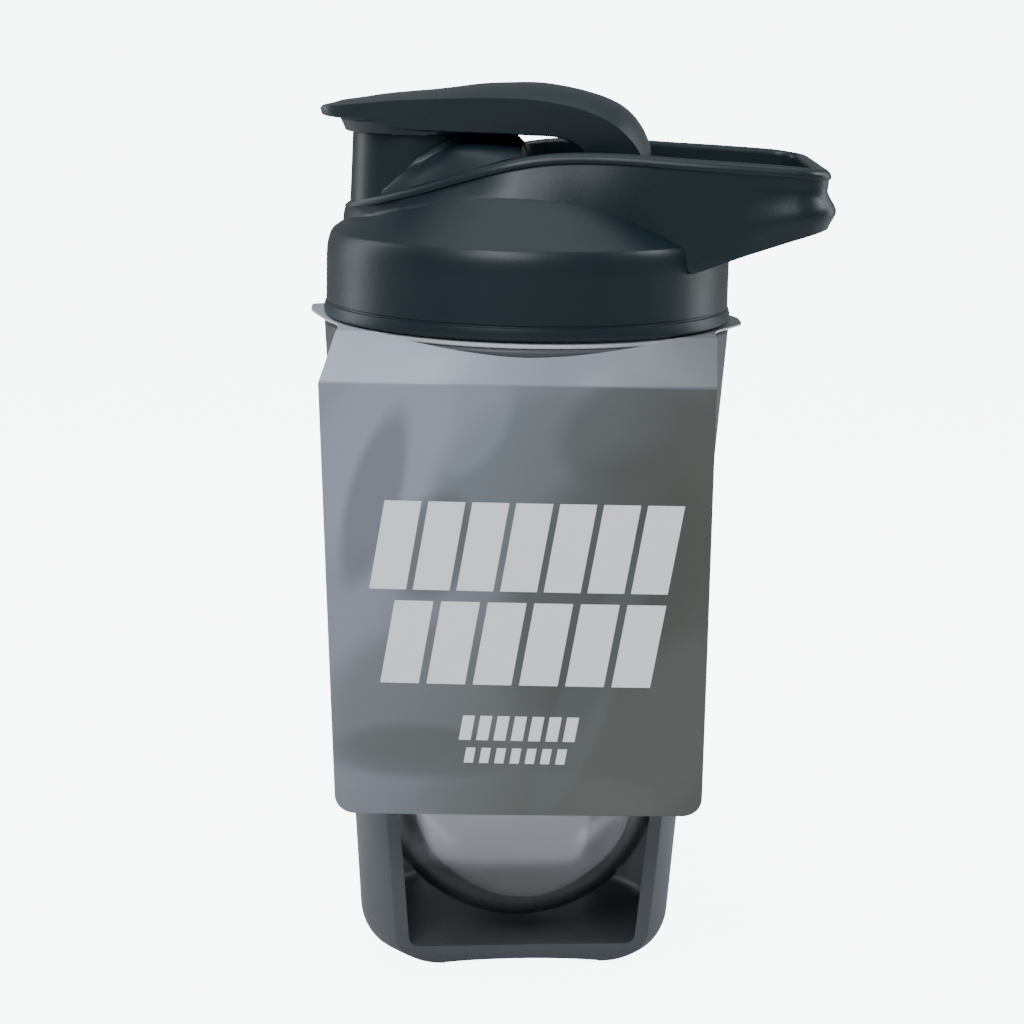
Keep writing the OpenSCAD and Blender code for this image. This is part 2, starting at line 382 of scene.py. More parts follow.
def windowBlock(s, side, flat):
    # the block that cuts one window, its two upper edges rounded
    reach, top = s["cutReach"], s["windowTop"]
    deselect()
    bpy.ops.mesh.primitive_cube_add(size=1, location=Vector((0, side * (flat + reach / 2), top / 2 - 1)) * mm)
    tool = bpy.context.active_object
    tool.scale = Vector((2 * (s["lowRadius"] + 14), reach, top + 2)) * mm
    settle(tool)
    editAll(tool)
    bpy.ops.mesh.select_all(action="DESELECT")
    bm = bmesh.from_edit_mesh(tool.data)
    for edge in bm.edges:
        ends = [v.co for v in edge.verts]
        upper = all(c.z > 0.1 for c in ends)
        edge.select = upper and abs(ends[0].x - ends[1].x) < 1e-6 and abs(ends[0].y - ends[1].y) > 0.01
    bm.select_flush_mode()
    bmesh.update_edit_mesh(tool.data)
    bpy.ops.mesh.bevel(offset=s["windowRound"] * mm, segments=6)
    leaveEdit()
    return tool


def makeCage(s):
    top = high["cage"][2]

    def wallRadius(z):
        return s["lowRadius"] + s["taper"] * z

    foot = wallRadius(s["footRound"]) - s["footReach"]
    inner, lip = s["innerRound"], s["lip"]
    outline = (s["underside"]
               + [(foot + s["footReach"] * x, s["footRound"] * (1 + z)) for x, z in arc(0, 0, 1, -90, -4, 12)]
               + arc(wallRadius(top) - lip, top - lip, lip, 0, 90, 4)
               + arc(wallRadius(top) - s["wall"] + lip, top - lip, lip, 90, 180, 4)
               + arc(wallRadius(s["floor"] + inner) - s["wall"] - inner, s["floor"] + inner, inner, -4, -90, 6)
               + [(20, s["floor"] + s["floorRise"] / 2), (0, s["floor"] + s["floorRise"])])
    cage = turned("cageShell", outline, 160)
    for side, flat in ((-1, s["frontFlat"]), (1, s["backFlat"])):
        tool = windowBlock(s, side, flat)
        tool.rotation_euler[2] = math.radians(s["turn"])
        settle(tool)
        cut(cage, tool)
    arch = s["arch"]                                         # the foot is clear of the floor at front and back
    for vertex in cage.data.vertices:
        depth, height = abs(vertex.co.y) / mm, vertex.co.z / mm
        if height < arch["height"]:
            rise = arch["lift"] * ease((depth - arch["from"]) / arch["over"])
            vertex.co.z += rise * (1 - height / arch["height"]) * mm
    tidyFaces(cage, 0.01)
    softEdges(cage, s["edge"], 3, 40)
    smooth(cage, 35)
    dress(cage, slateCage)
    stands(cage, "cage", "holder")


makeCage(cageSizes)
print("cage made")


cupSizes = {
    "dome": 34, "low": 7.2, "wall": 1.4, "topRadius": 42.4,
    "flange": 45.6, "flangeLow": 149.3, "flangeTop": 150.5, "edge": 0.5,
    "neck": 41.6, "neckWall": 2.2, "pitch": 6, "ridge": 1.0, "ridgeTurns": 1.6, "ridgeStart": 153.2,
}


def makeCup(s):
    top = high["cup"][2]
    centre = s["low"] + s["dome"]
    lean = math.degrees(math.atan((s["topRadius"] - s["dome"]) / (s["flangeLow"] - 1 - centre)))
    inner, edge = s["neck"] - s["neckWall"], s["edge"]
    outline = (arc(0, centre, s["dome"], -90, -lean, 24)
               + [(s["topRadius"], s["flangeLow"] - 1), (s["topRadius"] + 0.3, s["flangeLow"])]
               + arc(s["flange"] - edge, s["flangeLow"] + edge, edge, -90, 0, 3)
               + arc(s["flange"] - edge, s["flangeTop"] - edge, edge, 0, 90, 3)
               + [(s["neck"], s["flangeTop"])]
               + arc(s["neck"] - edge, top - edge, edge, 0, 90, 3)
               + arc(inner + edge, top - edge, edge, 90, 180, 3)
               + [(inner, s["flangeLow"] - 2)]
               + arc(0, centre + 0.4, s["dome"] - s["wall"], -lean, -90, 24))
    cup = turned("cupBody", outline, 160)
    # thread: a small ridge wound up the neck, its ends run out
    turns = s["ridgeTurns"]
    count = int(72 * turns)
    rings = []
    for k in range(count + 1):
        angle = tau * turns * k / count
        fade = ease(min(k, count - k) / 7)
        root, crest = s["neck"] - 0.3, s["neck"] + 0.02 + s["ridge"] * fade
        height = s["ridgeStart"] + s["pitch"] * turns * k / count
        rings.append([(r * math.cos(angle), r * math.sin(angle), height + z)
                      for r, z in ((root, -1.1), (crest, -0.5), (crest, 0.5), (root, 1.1))])
    cut(cup, tube("ridge", rings), "UNION")
    tidyFaces(cup, 0.003)
    smooth(cup, 30)
    dress(cup, clearCup, frostedFlange)
    for face in cup.data.polygons:                           # the flange's rim faces get the pale frosted finish and show as a thin white line
        place = face.center / mm
        level = s["flangeLow"] - 0.2 < place.z < s["flangeTop"] + 0.1
        if level and math.hypot(place.x, place.y) > s["neck"] + 1:
            face.material_index = 1
    stands(cup, "cup", "vessel")


makeCup(cupSizes)
print("cup made")


lidSizes = {
    "radius": 46, "wall": 2.4, "lipOut": 0.45, "groove": 154.2, "shoulder": 169.9, "crease": 44.5,
    "crown": 180.2, "crownRadius": 30.2, "deck": 172.5, "seat": 167, "neckIn": 39.4, "edge": 0.35,
    "spoutX": -26.9, "spout": 13.4, "bore": 10.8, "spoutTop": 193, "mouth": 0.9,
}
backSizes = {                                                # wall behind the spout; levels: height, end x, growth
    "half": 6.5, "nose": 5, "bore": 12,
    "levels": [(172, 1.6, 1.6), (173.1, 0.7, 0.8), (174.5, 0.2, 0.3), (178, 0, 0), (184, -0.1, 0),
               (187.5, -0.2, 0), (189, -0.6, 0), (190.2, -1.3, 0), (191.2, -2.3, 0), (191.85, -3.2, -0.2),
               (192, -3.9, -0.7)],
}
shelfSizes = {
    "rise": [(-36, -0.9), (-31, 0), (-29, 0.9), (-24, 2.6), (-17, 3.8), (-12, 2.6), (-7, 0.9), (-2, -0.6),
             (4, -1.8)],
    "start": -35, "step": 1.25, "stations": 32, "across": 16, "thick": 1.2, "under": 1.0,
    "knee": 5.5, "climb": 0.08, "fillet": 3, "filletEnd": -7, "fallFrom": -2.5, "fallOver": 5,
}
earSizes = {"inner": 14.4, "thick": 3, "half": 7, "knuckle": 5, "hole": 1.7, "edge": 0.3}
loopSizes = {
    "halfWidth": 27, "noseX": -42, "straightX": -2, "endX": 65.7, "corner": 8, "wall": 3, "power": 1.6,
    "widen": 2.4, "widenFrom": 8, "widenOver": 36, "bulge": 1.8, "bulgeAt": 0.34,
    "flare": [(-42, 0.4), (-38, 1.6), (-32.9, 2.8), (-26.6, 3.4), (-17, 3.4), (-9, 3.15), (-2, 3.4), (6, 3.8),
              (15, 3.2), (22, 2.0), (29, 1.0), (36, 0.9), (44, 0.7), (60, 0)],
    "meet": [(-42, 170.8), (-34.9, 174.6), (-28.5, 176.4), (-24, 177.6), (-18.5, 178.8), (-9.6, 180),
             (-2, 180.1), (10.7, 178.5), (21, 176.1), (28.7, 172.8), (36, 169.4), (47, 168.3), (58, 172),
             (65.3, 174)],
    "rim": [(-42, 175.7), (-39.5, 177.1), (-35, 178.5), (-30.5, 179.8), (-24, 181.9), (-18.5, 183.8),
            (-12, 185.9), (-6, 187.6), (0, 188.8), (5.5, 189.5), (15, 189.8), (37, 188.9), (50, 188.3),
            (58.5, 187.8), (66.3, 187.1)],
    "foot": [(-42, 171.4), (-38, 171.5), (-30, 170), (30, 168), (34.2, 165.6), (35, 164.4), (36, 164.2),
             (47, 168.3), (58, 172.0), (62, 173.1), (65.3, 174.0)],
    "lip": [(-0.05, 2.5), (0.32, 2.2), (0.42, 1.7), (0.2, 1.0)],          # outward and down, in a full bead
    "crest": [(-0.35, 0.42), (-1.1, 0.08), (-1.9, 0), (-2.5, 0.2), (-2.95, 0.7), (-3, 1.4)],
}


def loopPath(inset, s):
    # plan of the carry loop from the nose round one side to the end: points with their outward direction
    half = s["halfWidth"] - inset
    nose = s["noseX"] + inset
    end = s["endX"] - inset
    corner = max(s["corner"] - inset, 0.5)
    begin, power = s["straightX"], s["power"]
    curve, straight, across = 34, 30, 8                      # steps along each stretch
    side = []
    for i in range(curve + 1):
        u = math.cos(math.radians(90 * i / curve))
        side.append((begin + (nose - begin) * u, half * (1 - u ** power) ** (1 / power)))
    for i in range(1, straight):
        x = begin + (end - corner - begin) * i / straight
        side.append((x, half + s["widen"] * ease((x - s["widenFrom"]) / s["widenOver"])))
    half += s["widen"]
    side += arc(end - corner, half - corner, corner, 90, 0, 14)
    side += [(end, (half - corner) * (1 - i / across)) for i in range(1, across + 1)]
    whole = side + [(x, -y) for x, y in reversed(side[1:-1])]
    path = []
    for i, (x, y) in enumerate(whole):
        px, py = whole[i - 1]
        nx, ny = whole[(i + 1) % len(whole)]
        dx, dy = nx - px, ny - py
        size = math.hypot(dx, dy)
        path.append((x, y, -dy / size, dx / size))
    return path


def makeLoop(s):
    thick = s["wall"]
    rings = []
    for x, y, ox, oy in loopPath(0, s):
        top = curveThrough(s["rim"], x)
        foot = along(s["foot"], x)
        tall = top - foot
        bead = min(1.0, tall / 8)
        neck = top - 2.7 * bead
        flare = curveThrough(s["flare"], x)                  # the wall stands wider where it meets the shoulder
        meet = curveThrough(s["meet"], x)
        blunt = 1 - ease((x + 41) / 12)                      # at the nose it is one thick roll
        end = ease((x - 40) / 22)                            # and it swells out towards the loop's end
        ring = []
        for t in (0, 0.08, 0.18, 0.28, 0.38, 0.48, 0.58, 0.68, 0.78, 0.88):
            waist = 0.22 * math.exp(-((t - 0.78) / 0.12) ** 2)
            swell = s["bulge"] * (math.exp(-((t - s["bulgeAt"]) / 0.25) ** 2) - waist)
            z = foot + 0.5 + (neck - foot - 0.5) * t
            share = min((neck - z) / max(neck - meet, 0.5), 1.35)
            rounded = math.sqrt(max(0, 1 - (1 - min(share, 1)) ** 2))
            ring.append((swell * end + flare * (share * (1 - blunt) + rounded * blunt), z))
        ring = [(ring[0][0] - 0.5, foot), (ring[0][0] - 0.12, foot + 0.1)] + ring
        ring += [(out * (1 - blunt), top - down * bead) for out, down in s["lip"]]
        ring += [(out, top - down * bead) for out, down in s["crest"]]
        ring += [(-thick, top - 0.5 * tall), (-thick, foot + 0.4), (-thick + 0.4, foot)]
        rings.append([(x + ox * o, y + oy * o, z) for o, z in ring])
    return tube("carryLoop", rings, closedLoop=True)


def makeLid(s, loop):
    radius, crease, shoulder, groove = s["radius"], s["crease"], s["shoulder"], s["groove"]
    inner = radius - s["wall"]
    floorZ = low["lid"][2]
    top = s["deck"] - s["wall"]
    neckIn = s["neckIn"]
    outline = [(inner + 0.3, floorZ), (radius + s["lipOut"] - 0.3, floorZ),
               (radius + s["lipOut"], floorZ + 0.35),
               (radius + 0.55, floorZ + 1.5), (radius + 0.18, groove - 0.5), (radius - 0.16, groove - 0.3),
               (radius - 0.2, groove), (radius + 0.05, groove + 0.22), (radius, groove + 0.7),
               (radius, shoulder - 6), (radius - 0.08, shoulder - 4), (radius - 0.28, shoulder - 2.6),
               (radius - 0.55, shoulder - 1.5), (radius - 0.9, shoulder - 0.6),
               (crease + 0.3, shoulder - 0.08), (crease + 0.12, shoulder + 0.14),
               (crease - 0.12, shoulder + 0.34), (crease - 0.5, shoulder + 0.6),
               (s["crownRadius"], s["crown"]), (20, s["crown"] + 0.5), (0, s["crown"] + 0.6),
               (0, top), (neckIn - 1, top), (neckIn, top - 0.6), (neckIn, s["seat"]), (inner, s["seat"]),
               (inner, floorZ + 0.3)]
    lid = turned("lidShell", outline, 192)
    # the well between the loop's walls, open above
    path = loopPath(loopSizes["wall"] - 0.4, loopSizes)
    cut(lid, prism("well", [(p[0], p[1], s["deck"]) for p in path if p[0] > s["spoutX"] + 0.3], (0, 0, 20)))
    # spout, open right through, with a rounded mouth
    sx, r, bore, mouth = s["spoutX"], s["spout"], s["bore"], s["mouth"]
    cut(lid, rod(bore, 30, (sx, 0, s["deck"])))
    spout = turned("spout", [(bore, top - 0.2), (r + 0.6, top - 0.2), (r + 0.6, s["deck"] + 1),
                             (r + 0.35, 180), (r + 0.1, 188)]
                   + arc(r - mouth, s["spoutTop"] - mouth, mouth, 0, 90, 4)
                   + arc(bore + mouth, s["spoutTop"] - mouth, mouth, 90, 180, 4), 96, (sx, 0))
    others = [spout, makeSpoutBack(s, backSizes), loop]
    others += [makeShelf(s, shelfSizes, side) for side in (-1, 1)]
    others += [makeEar(earSizes, side) for side in (-1, 1)]
    for piece in others:
        smooth(piece, 40)
    softEdges(lid, s["edge"], 2, 50)
    smooth(lid, 24)
    for piece in [lid] + others:
        dress(piece, slateLid)
        stands(piece, "lid", "screw_lid")


def sideReach(u, lid, wall, grow=0):
    # half width of the wall behind the spout, from the spout's middle (0) to where its end rounds (1)
    return wall["half"] + grow + (lid["spout"] - 0.2 - wall["half"]) * (1 - u) ** 1.7


def makeSpoutBack(lid, s):
    # the wall that runs on from the round spout under the cap's arm
    sx, nose = lid["spoutX"], s["nose"]
    rings = []
    for z, end, grow in s["levels"]:
        side = [(sx + (end - nose - sx) * i / 12, sideReach(i / 12, lid, s, grow)) for i in range(13)]
        for i in range(1, 9):
            angle = math.radians(10 * i)
            side.append((end - nose + nose * math.sin(angle), (s["half"] + grow) * math.cos(angle) ** 0.8))
        side.append((end, 0))
        rings.append([(x, -y, z) for x, y in side] + [(x, y, z) for x, y in reversed(side[:-1])])
    back = tube("spoutBack", rings)
    cut(back, rod(s["bore"], 60, (sx, 0, lid["deck"])))
    return back


def backEdge(x, lid, s):
    # how far the spout and the wall behind it reach sideways
    sx, nose = lid["spoutX"], s["nose"]
    end = -0.2 - nose
    if x > -0.2:
        return 0
    spout = math.sqrt(max(0, lid["spout"] ** 2 - (x - sx) ** 2))
    if x < sx:
        return spout
    if x > end:
        return s["half"] * math.cos(math.asin(min(1, (x - end) / nose))) ** 0.8
    return max(spout, sideReach((x - sx) / (end - sx), lid, s))


def makeShelf(lid, s, side):
    # rounded shelf between the collar's rim and the spout; its far end runs down to the deck
    path = loopPath(loopSizes["wall"] - 0.7, loopSizes)
    rimLine = [(p[0], p[1]) for p in path[:len(path) // 2] if p[1] >= 0 and p[0] < 12]
    rows = []
    for station in range(s["stations"]):
        x = s["start"] + s["step"] * station
        outer = curveThrough(rimLine, x)
        inner = max(min(backEdge(x, lid, backSizes) - 0.4, outer - 0.2), 0) if x < -0.4 else 0
        width = outer - inner
        knee = min(width, s["knee"])
        rim = curveThrough(loopSizes["rim"], x)
        top = rim + curveThrough(s["rise"], x)
        bottom = rim - s["under"]
        fillet = s["fillet"] * min(1, width / 4) * (1 - ease((x - s["filletEnd"]) / 4))
        fall = ease((x - s["fallFrom"]) / s["fallOver"])
        row = []
        for i in range(s["across"] + 1):
            reach = width * i / s["across"]
            q = min(reach / knee, 1)
            z = bottom + (top - bottom) * (1 - (1 - q) ** 2.2) + s["climb"] * max(0, reach - knee)
            near = min((width - reach) / s["fillet"], 1)     # rounds up against the spout
            z += fillet * (1 - math.sqrt(1 - (1 - near) ** 2))
            z += (lid["deck"] + 0.2 - z) * fall * ease(reach / 1.5)
            row.append((x, side * (outer - reach), z))
        rows.append(row)
    shelf = sheetGrid("spoutShelf" + ("Front" if side < 0 else "Back"), rows)
    modify(shelf, "SOLIDIFY", thickness=s["thick"] * mm, offset=-1 if side < 0 else 1)
    tidyFaces(shelf)
    return shelf


def makeEar(s, side):
    # hinge ear: a rounded plate that stands on the deck beside the cap's leg
    x, inner, base = hinge[0], s["inner"], lidSizes["deck"] - 1
    outline = [(x - s["half"] - 1, base), (x + s["half"] + 1, base)]
    outline += arc(x, hinge[2], s["knuckle"], 0, 180, 16)
    name = "hingeEar" + ("Front" if side < 0 else "Back")
    ear = prism(name, [(px, side * inner, pz) for px, pz in outline], (0, side * s["thick"], 0))
    cut(ear, rod(s["hole"], 20, (x, side * inner, hinge[2]), 32, lying=True))
    softEdges(ear, s["edge"], 2, 50)
    return ear


makeLid(lidSizes, makeLoop(loopSizes))
print("lid made")


# stations along the arm: bottom, crisp side edge and crown as (x, z), then half width and depth of the hollow
capStations = [
    ((-47.3, 196.4), (-47.5, 196.8), (-47.5, 196.9), 3.4, 0),
    ((-46.9, 195.7), (-47.2, 197.3), (-47.2, 197.5), 5.3, 0),
    ((-45.4, 195.4), (-45.5, 197.7), (-45.5, 197.9), 7.7, 0),
    ((-42.5, 195.2), (-42.5, 198.1), (-42.5, 198.8), 10.1, 0),
    ((-38.5, 195.1), (-38.5, 198.6), (-38.5, 199.4), 12.4, 0),
    ((-34.5, 194.6), (-34.5, 199.1), (-34.5, 200.1), 13.7, 0),
    ((-31.0, 193.4), (-31.0, 199.5), (-31.0, 200.6), 14.3, 0),
    ((-26.5, 193.0), (-26.5, 199.8), (-26.5, 201.1), 14.5, 0),
    ((-21.6, 192.9), (-21.6, 200.1), (-21.6, 201.6), 14.7, 0),
    ((-16.5, 192.8), (-16.5, 200.3), (-16.5, 202.3), 14.6, 0),
    ((-11.0, 192.7), (-11.0, 200.5), (-11.0, 203.1), 14.4, 4.5),
    ((-5.5, 192.6), (-5.5, 200.5), (-5.5, 203.45), 14.2, 5.5),
    ((0.5, 192.4), (0.5, 200.3), (0.5, 203.65), 14.1, 6),
    ((4.2, 192.3), (5.6, 199.6), (6.6, 203.1), 14.0, 6),
    ((7.2, 191.9), (10.8, 198.5), (12.6, 201.9), 14.0, 5),
    ((9.6, 190.8), (15.2, 196.9), (18.0, 200.2), 14.0, 4),
    ((11.2, 189.6), (19.0, 194.8), (22.0, 197.9), 14.0, 3),
    ((12.4, 188.2), (22.0, 192.2), (25.0, 194.6), 13.9, 1.5),
    ((13.4, 186.4), (24.0, 189.6), (26.9, 190.9), 13.8, 0.5),
    ((14.3, 184.2), (25.0, 186.8), (27.6, 187.4), 13.7, 0),
    ((15.2, 181.6), (25.0, 183.6), (26.8, 183.8), 13.6, 0),
    ((16.4, 179.0), (23.8, 179.9), (24.6, 179.6), 13.5, 0),
    ((18.4, 177.6), (21.4, 177.7), (21.8, 177.5), 13.4, 0),
]
capSizes = {
    "across": 12, "fine": 3, "wall": 2.0, "edge": 0.3, "hollow": 0.75,
    "ring": 15.3, "ringIn": 13.75, "ringLow": 192.05, "ringTop": 196.5, "flank": 14.3,
    "shoulder": [(0.9, 194.6), (0.8, 195.0), (-0.6, 195.3)],
}


def readStation(place):
    # stations between the listed ones, along smooth curves
    def value(pick):
        return curveThrough([(i, pick(station)) for i, station in enumerate(capStations)], place)
    bottom = (value(lambda s: s[0][0]), value(lambda s: s[0][1]))
    side = (value(lambda s: s[1][0]), value(lambda s: s[1][1]))
    crown = (value(lambda s: s[2][0]), value(lambda s: s[2][1]))
    return bottom, side, crown, value(lambda s: s[3]), max(value(lambda s: s[4]), 0)


def armRing(place, s):
    # over the crown from the front edge to the back one, and home through the hollow underneath
    bottom, side, crown, half, deep = readStation(place)
    ux, uz = side[0] - bottom[0], side[1] - bottom[1]
    size = math.hypot(ux, uz)
    ux, uz = ux / size, uz / size
    deep = min(deep, size * s["hollow"])
    inner, edge = half - s["wall"], s["edge"]
    ring = []
    for j in range(s["across"] + 1):
        t = 2 * j / s["across"] - 1
        lift = 1 - t * t
        ring.append((side[0] + (crown[0] - side[0]) * lift, t * half,
                     side[1] + (crown[1] - side[1]) * lift))
    flank = [(side[0] - edge * ux, half + 0.02, side[1] - edge * uz)]
    for up, across in ((edge, half), (0, half - edge), (0, inner + 0.2), (deep * 0.15, inner), (deep, inner - 0.2)):
        flank.append((bottom[0] + ux * up, across, bottom[1] + uz * up))
    return ring + flank + [(x, -y, z) for x, y, z in reversed(flank)]


def makeFlipCap(s):
    count = (len(capStations) - 1) * s["fine"]
    arm = tube("capArm", [armRing(k / s["fine"], s) for k in range(count + 1)])
    ring, inner, under, top = s["ring"], s["ringIn"], s["ringLow"], s["ringTop"]
    collar = turned("capRing", [(inner, under + 0.3), (inner + 0.3, under), (ring - 0.6, under),
                                (ring - 0.15, under + 0.2), (ring, under + 0.7)]
                    + [(ring + out, z) for out, z in s["shoulder"]]
                    + [(ring - 3.5, top), (0, top), (0, top - 1.2), (inner, top - 1.2)],
                    96, (lidSizes["spoutX"], 0))
    for vertex in collar.data.vertices:                      # its flanks stay inside the arm's side walls
        vertex.co.y = math.copysign(min(abs(vertex.co.y), s["flank"] * mm), vertex.co.y)
    for piece in (arm, collar):
        smooth(piece, 30)
        dress(piece, slateCap)
        stands(piece, "flip_cap", "cap")


makeFlipCap(capSizes)
print("flip cap made")


def makeSmallParts(s):
    plugLow, plugTop = 190.6, capSizes["ringTop"] - 1.25
    nose, flange, mouth = s["bore"] - 1.4, s["spout"] - 0.4, s["spoutTop"]
    plug = turned("spoutPlug", [(0, plugLow), (nose - 1.2, plugLow), (nose, plugLow + 1), (nose, mouth + 0.1),
                                (nose + 0.5, mouth + 0.5), (flange - 0.4, mouth + 0.5),
                                (flange, mouth + 0.9), (flange, plugTop), (0, plugTop)], 96, (s["spoutX"], 0))
    seal0, seal1 = low["lid_seal"][2], high["lid_seal"][2]
    outer, inner = high["lid_seal"][0], s["neckIn"]
    middle = (seal0 + seal1) / 2
    ring = turned("sealRing", [(inner + 0.3, seal0), (outer - 0.5, seal0), (outer, seal0 + 0.5),
                               (outer - 0.25, middle), (outer, seal1 - 0.5), (outer - 0.5, seal1),
                               (inner + 0.3, seal1), (inner, middle)], 144)
    for piece, node, slot, body in ((plug, "spout_plug", "soft_plug", "cap"),
                                    (ring, "lid_seal", "soft_seal", "seal")):
        smooth(piece, 30)
        dress(piece, rubberRing)
        stands(piece, node, body)
    dress(frame["nodes"]["mixing_grid"], slateInner)
    near, far = low["hinge_pin"], high["hinge_pin"]
    pin = rod((far[0] - near[0]) / 2, 2 * far[1], (hinge[0], 0, hinge[2]), 32, lying=True)
    pin.name = "hingePin"
    settle(pin)
    softEdges(pin, 0.35, 3, 50)
    smooth(pin, 30)
    dress(pin, slateInner)
    stands(pin, "hinge_pin", "screw_lid")


makeSmallParts(lidSizes)
print("small parts made")


cardSizes = {
    "thick": 0.4, "width": 85, "lowWidth": 81, "round": 4,
    "foldZ": 141.8, "foldY": 47.5, "low": 45.7, "lowY": 46.4,
    "ringY": 33.5, "side": 41.5, "tip": 49.3, "hole": 42.8, "lip": 47.0, "lipZ": 147.7, "ringZ": 150.55,
    "curl": (1.6, -0.35), "cheek": [(0, 0), (5, -0.3), (12, -3.1), (20, -6.9), (26, -7.6), (34.5, -7.8)],
    "shift": 0.4, "drift": 2.2, "skew": 0.011, "bow": 0.5, "curve": 0.6, "across": 64,
}
printSizes = {
    "warp": (22, 16), "fieldLean": 0.32, "blockLean": 0.16, "fold": (141.6, 142.2),
    "blocks": [                                              # rows: centre z, height, left x, pitch, count, gap
        (106.5, 19.6, -31.4, 9.45, 7, 0.16),
        (84.9, 18.6, -28.9, 10.1, 6, 0.17),
        (65.7, 5.6, -12.6, 3.8, 7, 0.32),
        (59.4, 3.5, -11.6, 3.35, 7, 0.40),
    ],
    "fields": [                                              # centre x and z, half sizes, colour, strength
        (-30, 128, 13, 26, "mist", 0.75),
        (-2, 120, 17, 20, "sage", 0.55),
        (16, 96, 22, 30, "olive", 0.6),
        (-26, 70, 20, 16, "steel", 0.5),
        (28, 64, 16, 22, "steel", 0.32),
        (4, 48, 26, 7, "steel", 0.35),
        (-33, 116, 5, 20, "olive", 0.45),
        (-12, 133, 8, 11, "mist", 0.35),
        (-22, 104, 9, 13, "dark", 0.55),
        (22, 132, 15, 12, "olive", 0.45),
        (-24, 58, 20, 6, "olive", 0.4),
        (14, 74, 6, 30, "sage", 0.3),
    ],
}
lilac = {
    "dark": (0.092, 0.095, 0.083, 1), "pale": (0.27, 0.29, 0.34, 1), "mist": (0.32, 0.345, 0.42, 1),
    "sage": (0.135, 0.16, 0.165, 1), "olive": (0.068, 0.072, 0.060, 1), "steel": (0.128, 0.137, 0.122, 1),
    "paintedGlare": (0.50, 0.56, 0.65, 1), "white": (1.0, 0.97, 1.0, 1),
}


def printedCard(name, s):
    # duotone print in soft slanted fields, with rows of plain white blocks, under a thin satin varnish; a painted
    # glare lightens the sloped section above the fold, more on the left
    finish = Finish(name, IOR=1.46)
    smoothStep = {"interpolation_type": "SMOOTHSTEP"}
    x = finish.node("ShaderNodeSeparateXYZ", None, {0: finish.place()}) / mm
    z = finish.node("ShaderNodeSeparateXYZ", None, {0: finish.place()}, out=2) / mm
    wide = finish.noise(14, 1)
    warpX = x + (wide - 0.5) * s["warp"][0]
    warpZ = z + (wide - 0.5) * s["warp"][1]
    ground = finish.blend((0.0 - warpX) / 60 + (warpZ - 95) / 150 + 0.38, lilac["dark"], lilac["pale"])
    lean = s["fieldLean"]
    for cx, cz, rx, rz, colour, strength in s["fields"]:
        dx = (warpX - lean * warpZ + (lean * cz - cx)) / rx
        dz = (warpZ - cz) / rz
        inside = finish.node("ShaderNodeMapRange", smoothStep,
                             {0: dx * dx + dz * dz, 1: 1.5, 2: 0.55, 3: 0.0, 4: strength})
        ground = finish.blend(inside, ground, lilac[colour])
    # painted glare: the sloped section above the fold is mixed towards a pale blue-grey, stronger to the left, in
    # place of the light it catches from above
    slopeGlareMask = finish.node("ShaderNodeMapRange", smoothStep,
                        {0: z, 1: s["fold"][0], 2: s["fold"][1], 3: 0.0, 4: 1.0})
    ground = finish.blend(slopeGlareMask * (0.42 - x / 160), ground, lilac["paintedGlare"])
    mask = None
    for zc, tall, left, pitch, count, gap in s["blocks"]:
        place = (x - (z - zc) * s["blockLean"] - left) / pitch
        cell = finish.node("ShaderNodeMath", {"operation": "FRACT"}, {0: place})
        row = (z > zc - tall / 2) * (z < zc + tall / 2)
        row = row * (place > 0.0) * (place < float(count)) * (cell < 1 - gap)
        mask = row if mask is None else mask + row
    finish.feed("Base Color", finish.blend(mask, ground, lilac["white"]))
    finish.feed("Roughness", 0.42 + 0.10 * finish.noise(120, 3))
    finish.bump(finish.noise(700, 3), 0.08, 0.0002)
    return finish


def plainCard(name):
    finish = Finish(name, IOR=1.45)
    finish.feed("Base Color", finish.blend(finish.noise(400, 3), (0.66, 0.66, 0.68, 1), (0.74, 0.74, 0.75, 1)))
    finish.feed("Roughness", 0.75 + 0.1 * finish.noise(900, 2))
    finish.bump(finish.noise(1200, 3), 0.2, 0.0002)
    return finish


cardPrint = printedCard("cardPrint", printSizes)
cardWhite = plainCard("cardWhite")


def hang(x, z, face, s):
    # the front panel hangs a little askew
    if face < 0:
        return x, z
    drop = min(max((z - s["low"]) / (s["foldZ"] - s["low"]), 0), 1)
    return x + s["shift"] - s["drift"] * drop, z + x * s["skew"] * min(1, (s["ringZ"] - z) / 6)


def slopeRow(t, face, s):
    # the sloped section, from the ring (0) down to the fold (1)
    corner = math.sqrt(s["lip"] ** 2 - s["ringY"] ** 2)
    row = []
    for j in range(s["across"] + 1):
        u = 2 * j / s["across"] - 1
        x0 = u * s["side"]
        y0 = max(s["ringY"], math.sqrt(max(0, s["lip"] ** 2 - x0 * x0)))
        z0 = s["lipZ"] + (s["ringZ"] - s["lipZ"]) * min(1, abs(x0) / corner) ** 1.5
        x1, z1 = hang(u * s["width"] / 2, s["foldZ"], face, s)
        row.append((x0 + (x1 - x0) * t, -face * (y0 + (s["foldY"] - y0) * t), z0 + (z1 - z0) * t))
    return row


def panelRow(drop, face, s):
    # the hanging panel, at one distance below the fold
    tall = s["foldZ"] - s["low"]
    half = (s["width"] + (s["lowWidth"] - s["width"]) * drop / tall) / 2
    over = max(0, s["round"] - (tall - drop))
    half -= s["round"] - math.sqrt(max(0, s["round"] ** 2 - over ** 2))
    y = s["foldY"] + (s["lowY"] - s["foldY"]) * drop / tall + s["bow"] * math.sin(math.pi * drop / tall)
    row = []
    for j in range(s["across"] + 1):
        u = 2 * j / s["across"] - 1
        x, z = hang(half * u, s["foldZ"] - drop, face, s)
        row.append((x, -face * (y - s["curve"] * u * u * min(1, drop / 20)), z))
    return row


